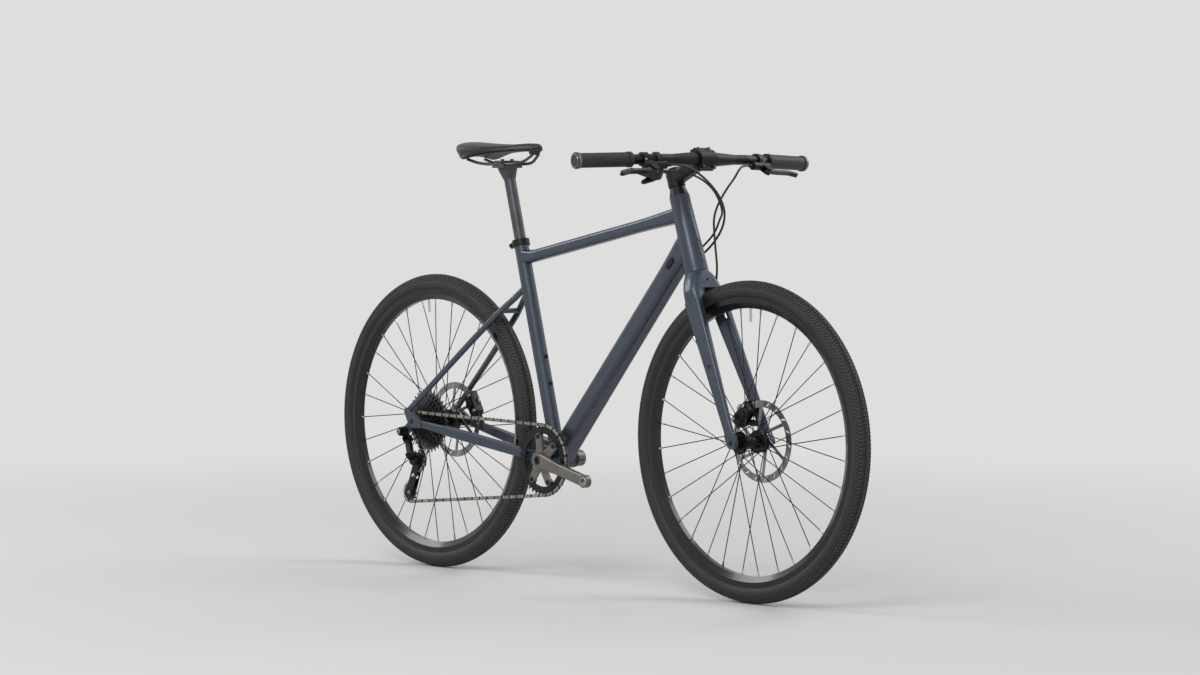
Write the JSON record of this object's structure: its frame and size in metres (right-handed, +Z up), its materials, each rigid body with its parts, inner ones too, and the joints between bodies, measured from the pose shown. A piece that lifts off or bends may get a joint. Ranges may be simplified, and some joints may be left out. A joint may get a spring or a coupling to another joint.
{
  "type": "hybrid bicycle",
  "caption": "Flat-bar hybrid bicycle with disc brakes, single chainring and rear derailleur; it steers, rolls, pedals, brakes and shifts, without pedals.",
  "frame": {"origin": "on the ground, midway between the axles, in the mid-plane", "axes": "+X forward, +Y to the rider's left, +Z up"},
  "size_m": [1.7699, 0.7034, 1.0149],
  "materials": {
    "frame_paint": "satin metallic dark slate blue",
    "black_aluminium": "black anodised",
    "grey_aluminium": "satin dark grey",
    "dark_steel": "dark steel",
    "bright_steel": "bright steel",
    "black_plastic": "matte black",
    "black_rubber": "matte black",
    "tyre_rubber": "black",
    "saddle_cover": "black synthetic cover"
  },
  "bodies": {
    "frame": {"head_tube": "frame_paint", "headset_bearings": "black_aluminium", "bottom_bracket_shell": "frame_paint", "bottom_bracket_cups": "black_aluminium", "seat_tube": "frame_paint", "seat_clamp": "black_aluminium", "top_tube": "frame_paint", "down_tube": "frame_paint", "frame_fittings": "black_aluminium", "chainstays": "frame_paint", "seatstays": "frame_paint", "dropouts": "frame_paint", "rear_thru_axle": "black_aluminium", "rear_caliper": "black_aluminium", "chain": "dark_steel", "rear_brake_hose": "black_rubber", "shift_cable": "black_rubber", "derailleur_body": "black_aluminium"},
    "steering": {"fork_crown": "frame_paint", "fork_legs": "frame_paint", "front_thru_axle": "black_aluminium", "headset_cover": "black_aluminium", "stem": "black_aluminium", "stem_faceplate": "black_aluminium", "handlebar": "black_aluminium", "grips": "black_rubber", "brake_lever_bodies": "black_aluminium", "shifter_body": "black_plastic", "front_caliper": "black_aluminium", "front_brake_hose": "black_rubber"},
    "right_brake_lever": {"brake_lever_right": "black_aluminium"},
    "left_brake_lever": {"brake_lever_left": "black_aluminium"},
    "thumb_shift_lever": {"thumb_lever": "black_plastic"},
    "release_shift_lever": {"release_trigger": "black_plastic"},
    "front_wheel": {"front_tyre": "tyre_rubber", "front_rim": "black_aluminium", "front_spokes": "dark_steel", "front_nipples": "bright_steel", "front_hub": "black_aluminium", "front_rotor": "bright_steel"},
    "rear_wheel": {"rear_tyre": "tyre_rubber", "rear_rim": "black_aluminium", "rear_spokes": "dark_steel", "rear_nipples": "bright_steel", "rear_hub": "black_aluminium", "rear_rotor": "bright_steel"},
    "cassette": {"cassette": "dark_steel"},
    "crank": {"crank_arm_right": "grey_aluminium", "crank_arm_left": "grey_aluminium", "chainring": "grey_aluminium"},
    "outer_link": {"derailleur_outer_link": "black_aluminium"},
    "inner_link": {"derailleur_inner_link": "black_aluminium"},
    "knuckle": {"derailleur_knuckle": "black_aluminium"},
    "cage": {"derailleur_cage": "black_aluminium"},
    "guide_pulley": {"guide_pulley": "black_plastic"},
    "tension_pulley": {"tension_pulley": "black_plastic"},
    "seatpost": {"seatpost": "grey_aluminium"},
    "saddle": {"saddle_rails": "dark_steel", "saddle_shell": "black_plastic", "saddle_pad": "saddle_cover"}
  },
  "joints": [
    {"name": "steering", "type": "hinge", "parent": "frame", "child": "steering", "pos_m": [0.36471, 0, 0.71671], "axis": [-0.3173, 0, 0.9483], "range_deg": [-60, 60], "deforming": ["rear_brake_hose", "shift_cable"]},
    {"name": "front_wheel_spin", "type": "hinge", "parent": "steering", "child": "front_wheel", "pos_m": [0.534, 0, 0.351], "axis": [0, 1, 0], "continuous": true},
    {"name": "rear_wheel_spin", "type": "hinge", "parent": "frame", "child": "rear_wheel", "pos_m": [-0.534, 0, 0.351], "axis": [0, 1, 0], "continuous": true},
    {"name": "crank_spin", "type": "hinge", "parent": "frame", "child": "crank", "pos_m": [-0.09454, 0, 0.281], "axis": [0, 1, 0], "continuous": true, "deforming": ["chain"]},
    {"name": "cassette_spin", "type": "hinge", "parent": "frame", "child": "cassette", "pos_m": [-0.534, 0, 0.351], "axis": [0, 1, 0], "continuous": true, "deforming": ["chain"]},
    {"name": "derailleur_swing", "type": "hinge", "parent": "frame", "child": "outer_link", "pos_m": [-0.55629, -0.07571, 0.30633], "axis": [0.7335, 0.5446, 0.4066], "range_deg": [0, 50], "deforming": ["chain"]},
    {"name": "inner_link_swing", "type": "hinge", "parent": "frame", "child": "inner_link", "pos_m": [-0.562, -0.06565, 0.30317], "axis": [0.7335, 0.5446, 0.4066], "range_deg": [0, 50], "deforming": ["chain"]},
    {"name": "knuckle_turn", "type": "hinge", "parent": "outer_link", "child": "knuckle", "pos_m": [-0.52728, -0.09226, 0.27617], "axis": [0.7335, 0.5446, 0.4066], "range_deg": [-50, 0], "deforming": ["chain"]},
    {"name": "cage_pivot", "type": "hinge", "parent": "knuckle", "child": "cage", "pos_m": [-0.526, -0.071, 0.259], "axis": [0, -1, 0], "range_deg": [-12, 48], "deforming": ["chain"]},
    {"name": "guide_pulley_spin", "type": "hinge", "parent": "cage", "child": "guide_pulley", "pos_m": [-0.526, -0.0645, 0.259], "axis": [0, 1, 0], "continuous": true, "deforming": ["chain"]},
    {"name": "tension_pulley_spin", "type": "hinge", "parent": "cage", "child": "tension_pulley", "pos_m": [-0.55659, -0.0645, 0.18077], "axis": [0, 1, 0], "continuous": true, "deforming": ["chain"]},
    {"name": "right_brake_pull", "type": "hinge", "parent": "steering", "child": "right_brake_lever", "pos_m": [0.41336, -0.17103, 0.94213], "axis": [-0.5269, 0.1058, -0.8433], "range_deg": [0, 15], "stiffness_Nm_per_rad": 1.5},
    {"name": "left_brake_pull", "type": "hinge", "parent": "steering", "child": "left_brake_lever", "pos_m": [0.41336, 0.17103, 0.94213], "axis": [0.5269, 0.1058, 0.8433], "range_deg": [0, 15], "stiffness_Nm_per_rad": 1.5},
    {"name": "thumb_push", "type": "hinge", "parent": "steering", "child": "thumb_shift_lever", "pos_m": [0.3688, -0.13687, 0.92861], "axis": [0.5269, -0.1058, 0.8433], "range_deg": [0, 25], "stiffness_Nm_per_rad": 0.6},
    {"name": "release_pull", "type": "hinge", "parent": "steering", "child": "release_shift_lever", "pos_m": [0.3688, -0.13687, 0.92861], "axis": [0.5269, -0.1058, 0.8433], "range_deg": [-15, 0], "stiffness_Nm_per_rad": 0.6},
    {"name": "seatpost_height", "type": "slide", "parent": "frame", "child": "seatpost", "axis": [-0.2588, 0, 0.9659], "range_m": [-0.09, 0.03]},
    {"name": "saddle_setback", "type": "slide", "parent": "seatpost", "child": "saddle", "axis": [1, 0, 0], "range_m": [-0.01, 0.01]}
  ],
  "couplings": [
    {"joint": "cassette_spin", "follows": "crank_spin", "ratio": 3.6364},
    {"joint": "guide_pulley_spin", "follows": "crank_spin", "ratio": -3.6364},
    {"joint": "tension_pulley_spin", "follows": "crank_spin", "ratio": 3.6364},
    {"joint": "inner_link_swing", "follows": "derailleur_swing", "ratio": 1},
    {"joint": "knuckle_turn", "follows": "derailleur_swing", "ratio": -1}
  ]
}
